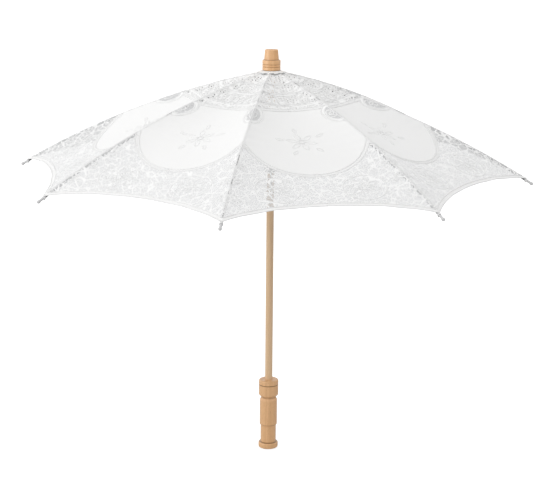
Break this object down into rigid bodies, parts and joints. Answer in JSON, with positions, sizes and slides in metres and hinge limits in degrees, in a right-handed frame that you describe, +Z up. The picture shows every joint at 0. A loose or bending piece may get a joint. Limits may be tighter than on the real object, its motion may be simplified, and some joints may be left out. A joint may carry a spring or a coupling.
{
  "type": "parasol",
  "caption": "open lace parasol with a turned wooden finial, straight dowel shaft and turned wooden handle, folding ribs and a scalloped pale lace canopy",
  "frame": {"origin": "centre of the handle's flat foot", "axes": "+Z up the shaft to the finial, +X along rib 1, ribs numbered anticlockwise seen from above"},
  "size_m": [0.841, 0.841, 0.6695],
  "materials": {
    "shaft_wood": "bare pale dowel, satin",
    "turned_wood": "clear varnished beech, satin",
    "white_plastic": "moulded white, glossy",
    "tip_plastic": "moulded pale grey-white, glossy",
    "rib_steel": "nickel-plated steel strip, dull",
    "wire_steel": "plated wire, bright",
    "lace": "white cotton tape lace on fine net, open work"
  },
  "bodies": {
    "stick": {"shaft": "shaft_wood", "handle": "turned_wood", "finial": "turned_wood", "crown": "white_plastic", "crown_wire": "wire_steel", "catch_pin": "wire_steel"},
    "catch": {"catch": "wire_steel"},
    "runner": {"runner_ring": "white_plastic", "runner_sleeve": "white_plastic", "runner_wire": "wire_steel"},
    "rib_1": {"rib_1": "rib_steel", "rib_tip_1": "tip_plastic", "rivet_1": "wire_steel"},
    "stretcher_1": {"stretcher_1": "rib_steel"},
    "pleat_1_left": {"canopy_1_left": "lace"},
    "pleat_1_right": {"canopy_1_right": "lace"},
    "rib_2": {"rib_2": "rib_steel", "rib_tip_2": "tip_plastic", "rivet_2": "wire_steel"},
    "stretcher_2": {"stretcher_2": "rib_steel"},
    "pleat_2_left": {"canopy_2_left": "lace"},
    "pleat_2_right": {"canopy_2_right": "lace"},
    "rib_3": {"rib_3": "rib_steel", "rib_tip_3": "tip_plastic", "rivet_3": "wire_steel"},
    "stretcher_3": {"stretcher_3": "rib_steel"},
    "pleat_3_left": {"canopy_3_left": "lace"},
    "pleat_3_right": {"canopy_3_right": "lace"},
    "rib_4": {"rib_4": "rib_steel", "rib_tip_4": "tip_plastic", "rivet_4": "wire_steel"},
    "stretcher_4": {"stretcher_4": "rib_steel"},
    "pleat_4_left": {"canopy_4_left": "lace"},
    "pleat_4_right": {"canopy_4_right": "lace"},
    "rib_5": {"rib_5": "rib_steel", "rib_tip_5": "tip_plastic", "rivet_5": "wire_steel"},
    "stretcher_5": {"stretcher_5": "rib_steel"},
    "pleat_5_left": {"canopy_5_left": "lace"},
    "pleat_5_right": {"canopy_5_right": "lace"},
    "rib_6": {"rib_6": "rib_steel", "rib_tip_6": "tip_plastic", "rivet_6": "wire_steel"},
    "stretcher_6": {"stretcher_6": "rib_steel"},
    "pleat_6_left": {"canopy_6_left": "lace"},
    "pleat_6_right": {"canopy_6_right": "lace"},
    "rib_7": {"rib_7": "rib_steel", "rib_tip_7": "tip_plastic", "rivet_7": "wire_steel"},
    "stretcher_7": {"stretcher_7": "rib_steel"},
    "pleat_7_left": {"canopy_7_left": "lace"},
    "pleat_7_right": {"canopy_7_right": "lace"},
    "rib_8": {"rib_8": "rib_steel", "rib_tip_8": "tip_plastic", "rivet_8": "wire_steel"},
    "stretcher_8": {"stretcher_8": "rib_steel"},
    "pleat_8_left": {"canopy_8_left": "lace"},
    "pleat_8_right": {"canopy_8_right": "lace"}
  },
  "joints": [
    {"name": "canopy_fold", "type": "hinge", "parent": "stick", "child": "rib_1", "pos_m": [0.0095, 0, 0.627], "axis": [0, 1, 0], "range_deg": [0, 68], "deforming": ["canopy_1_left", "canopy_1_right", "canopy_2_left", "canopy_2_right", "canopy_3_left", "canopy_3_right", "canopy_4_left", "canopy_4_right", "canopy_5_left", "canopy_5_right", "canopy_6_left", "canopy_6_right", "canopy_7_left", "canopy_7_right", "canopy_8_left", "canopy_8_right", "catch"]},
    {"name": "stretcher_1_turn", "type": "hinge", "parent": "rib_1", "child": "stretcher_1", "pos_m": [0.20217, 0, 0.57334], "axis": [0, 1, 0], "range_deg": [-136, 0]},
    {"name": "runner_turn", "type": "hinge", "parent": "stretcher_1", "child": "runner", "pos_m": [0.0095, 0, 0.51968], "axis": [0, 1, 0], "range_deg": [0, 68]},
    {"name": "pleat_1_left_turn", "type": "hinge", "parent": "rib_1", "child": "pleat_1_left", "pos_m": [0.0095, 0.00394, 0.627], "axis": [0.9365, -0.0093, -0.3504], "range_deg": [0, 73.04]},
    {"name": "pleat_1_right_turn", "type": "hinge", "parent": "rib_1", "child": "pleat_1_right", "pos_m": [0.0095, -0.00394, 0.627], "axis": [0.9365, 0.0093, -0.3504], "range_deg": [-73.04, 0]},
    {"name": "rib_2_fold", "type": "hinge", "parent": "stick", "child": "rib_2", "pos_m": [0.00672, 0.00672, 0.627], "axis": [-0.7071, 0.7071, 0], "range_deg": [0, 68]},
    {"name": "stretcher_2_turn", "type": "hinge", "parent": "rib_2", "child": "stretcher_2", "pos_m": [0.14295, 0.14295, 0.57334], "axis": [-0.7071, 0.7071, 0], "range_deg": [-136, 0]},
    {"name": "pleat_2_left_turn", "type": "hinge", "parent": "rib_2", "child": "pleat_2_left", "pos_m": [0.00394, 0.0095, 0.627], "axis": [0.6688, 0.6557, -0.3504], "range_deg": [0, 73.04]},
    {"name": "pleat_2_right_turn", "type": "hinge", "parent": "rib_2", "child": "pleat_2_right", "pos_m": [0.0095, 0.00394, 0.627], "axis": [0.6557, 0.6688, -0.3504], "range_deg": [-73.04, 0]},
    {"name": "rib_3_fold", "type": "hinge", "parent": "stick", "child": "rib_3", "pos_m": [0, 0.0095, 0.627], "axis": [-1, 0, 0], "range_deg": [0, 68]},
    {"name": "stretcher_3_turn", "type": "hinge", "parent": "rib_3", "child": "stretcher_3", "pos_m": [0, 0.20217, 0.57334], "axis": [-1, 0, 0], "range_deg": [-136, 0]},
    {"name": "pleat_3_left_turn", "type": "hinge", "parent": "rib_3", "child": "pleat_3_left", "pos_m": [-0.00394, 0.0095, 0.627], "axis": [0.0093, 0.9365, -0.3504], "range_deg": [0, 73.04]},
    {"name": "pleat_3_right_turn", "type": "hinge", "parent": "rib_3", "child": "pleat_3_right", "pos_m": [0.00394, 0.0095, 0.627], "axis": [-0.0093, 0.9365, -0.3504], "range_deg": [-73.04, 0]},
    {"name": "rib_4_fold", "type": "hinge", "parent": "stick", "child": "rib_4", "pos_m": [-0.00672, 0.00672, 0.627], "axis": [-0.7071, -0.7071, 0], "range_deg": [0, 68]},
    {"name": "stretcher_4_turn", "type": "hinge", "parent": "rib_4", "child": "stretcher_4", "pos_m": [-0.14295, 0.14295, 0.57334], "axis": [-0.7071, -0.7071, 0], "range_deg": [-136, 0]},
    {"name": "pleat_4_left_turn", "type": "hinge", "parent": "rib_4", "child": "pleat_4_left", "pos_m": [-0.0095, 0.00394, 0.627], "axis": [-0.6557, 0.6688, -0.3504], "range_deg": [0, 73.04]},
    {"name": "pleat_4_right_turn", "type": "hinge", "parent": "rib_4", "child": "pleat_4_right", "pos_m": [-0.00394, 0.0095, 0.627], "axis": [-0.6688, 0.6557, -0.3504], "range_deg": [-73.04, 0]},
    {"name": "rib_5_fold", "type": "hinge", "parent": "stick", "child": "rib_5", "pos_m": [-0.0095, 0, 0.627], "axis": [0, -1, 0], "range_deg": [0, 68]},
    {"name": "stretcher_5_turn", "type": "hinge", "parent": "rib_5", "child": "stretcher_5", "pos_m": [-0.20217, 0, 0.57334], "axis": [0, -1, 0], "range_deg": [-136, 0]},
    {"name": "pleat_5_left_turn", "type": "hinge", "parent": "rib_5", "child": "pleat_5_left", "pos_m": [-0.0095, -0.00394, 0.627], "axis": [-0.9365, 0.0093, -0.3504], "range_deg": [0, 73.04]},
    {"name": "pleat_5_right_turn", "type": "hinge", "parent": "rib_5", "child": "pleat_5_right", "pos_m": [-0.0095, 0.00394, 0.627], "axis": [-0.9365, -0.0093, -0.3504], "range_deg": [-73.04, 0]},
    {"name": "rib_6_fold", "type": "hinge", "parent": "stick", "child": "rib_6", "pos_m": [-0.00672, -0.00672, 0.627], "axis": [0.7071, -0.7071, 0], "range_deg": [0, 68]},
    {"name": "stretcher_6_turn", "type": "hinge", "parent": "rib_6", "child": "stretcher_6", "pos_m": [-0.14295, -0.14295, 0.57334], "axis": [0.7071, -0.7071, 0], "range_deg": [-136, 0]},
    {"name": "pleat_6_left_turn", "type": "hinge", "parent": "rib_6", "child": "pleat_6_left", "pos_m": [-0.00394, -0.0095, 0.627], "axis": [-0.6688, -0.6557, -0.3504], "range_deg": [0, 73.04]},
    {"name": "pleat_6_right_turn", "type": "hinge", "parent": "rib_6", "child": "pleat_6_right", "pos_m": [-0.0095, -0.00394, 0.627], "axis": [-0.6557, -0.6688, -0.3504], "range_deg": [-73.04, 0]},
    {"name": "rib_7_fold", "type": "hinge", "parent": "stick", "child": "rib_7", "pos_m": [0, -0.0095, 0.627], "axis": [1, 0, 0], "range_deg": [0, 68]},
    {"name": "stretcher_7_turn", "type": "hinge", "parent": "rib_7", "child": "stretcher_7", "pos_m": [0, -0.20217, 0.57334], "axis": [1, 0, 0], "range_deg": [-136, 0]},
    {"name": "pleat_7_left_turn", "type": "hinge", "parent": "rib_7", "child": "pleat_7_left", "pos_m": [0.00394, -0.0095, 0.627], "axis": [-0.0093, -0.9365, -0.3504], "range_deg": [0, 73.04]},
    {"name": "pleat_7_right_turn", "type": "hinge", "parent": "rib_7", "child": "pleat_7_right", "pos_m": [-0.00394, -0.0095, 0.627], "axis": [0.0093, -0.9365, -0.3504], "range_deg": [-73.04, 0]},
    {"name": "rib_8_fold", "type": "hinge", "parent": "stick", "child": "rib_8", "pos_m": [0.00672, -0.00672, 0.627], "axis": [0.7071, 0.7071, 0], "range_deg": [0, 68]},
    {"name": "stretcher_8_turn", "type": "hinge", "parent": "rib_8", "child": "stretcher_8", "pos_m": [0.14295, -0.14295, 0.57334], "axis": [0.7071, 0.7071, 0], "range_deg": [-136, 0]},
    {"name": "pleat_8_left_turn", "type": "hinge", "parent": "rib_8", "child": "pleat_8_left", "pos_m": [0.0095, -0.00394, 0.627], "axis": [0.6557, -0.6688, -0.3504], "range_deg": [0, 73.04]},
    {"name": "pleat_8_right_turn", "type": "hinge", "parent": "rib_8", "child": "pleat_8_right", "pos_m": [0.00394, -0.0095, 0.627], "axis": [0.6688, -0.6557, -0.3504], "range_deg": [-73.04, 0]},
    {"name": "catch_press", "type": "hinge", "parent": "stick", "child": "catch", "pos_m": [0.00038, -0.00092, 0.43978], "axis": [-0.9239, -0.3827, 0], "range_deg": [0, 6], "stiffness_Nm_per_rad": 0.6}
  ],
  "couplings": [
    {"joint": "stretcher_1_turn", "follows": "canopy_fold", "ratio": -2},
    {"joint": "runner_turn", "follows": "canopy_fold", "ratio": 1},
    {"joint": "pleat_1_left_turn", "follows": "canopy_fold", "ratio": 1.074},
    {"joint": "pleat_1_right_turn", "follows": "canopy_fold", "ratio": -1.074},
    {"joint": "rib_2_fold", "follows": "canopy_fold", "ratio": 1},
    {"joint": "stretcher_2_turn", "follows": "canopy_fold", "ratio": -2},
    {"joint": "pleat_2_left_turn", "follows": "canopy_fold", "ratio": 1.074},
    {"joint": "pleat_2_right_turn", "follows": "canopy_fold", "ratio": -1.074},
    {"joint": "rib_3_fold", "follows": "canopy_fold", "ratio": 1},
    {"joint": "stretcher_3_turn", "follows": "canopy_fold", "ratio": -2},
    {"joint": "pleat_3_left_turn", "follows": "canopy_fold", "ratio": 1.074},
    {"joint": "pleat_3_right_turn", "follows": "canopy_fold", "ratio": -1.074},
    {"joint": "rib_4_fold", "follows": "canopy_fold", "ratio": 1},
    {"joint": "stretcher_4_turn", "follows": "canopy_fold", "ratio": -2},
    {"joint": "pleat_4_left_turn", "follows": "canopy_fold", "ratio": 1.074},
    {"joint": "pleat_4_right_turn", "follows": "canopy_fold", "ratio": -1.074},
    {"joint": "rib_5_fold", "follows": "canopy_fold", "ratio": 1},
    {"joint": "stretcher_5_turn", "follows": "canopy_fold", "ratio": -2},
    {"joint": "pleat_5_left_turn", "follows": "canopy_fold", "ratio": 1.074},
    {"joint": "pleat_5_right_turn", "follows": "canopy_fold", "ratio": -1.074},
    {"joint": "rib_6_fold", "follows": "canopy_fold", "ratio": 1},
    {"joint": "stretcher_6_turn", "follows": "canopy_fold", "ratio": -2},
    {"joint": "pleat_6_left_turn", "follows": "canopy_fold", "ratio": 1.074},
    {"joint": "pleat_6_right_turn", "follows": "canopy_fold", "ratio": -1.074},
    {"joint": "rib_7_fold", "follows": "canopy_fold", "ratio": 1},
    {"joint": "stretcher_7_turn", "follows": "canopy_fold", "ratio": -2},
    {"joint": "pleat_7_left_turn", "follows": "canopy_fold", "ratio": 1.074},
    {"joint": "pleat_7_right_turn", "follows": "canopy_fold", "ratio": -1.074},
    {"joint": "rib_8_fold", "follows": "canopy_fold", "ratio": 1},
    {"joint": "stretcher_8_turn", "follows": "canopy_fold", "ratio": -2},
    {"joint": "pleat_8_left_turn", "follows": "canopy_fold", "ratio": 1.074},
    {"joint": "pleat_8_right_turn", "follows": "canopy_fold", "ratio": -1.074}
  ]
}
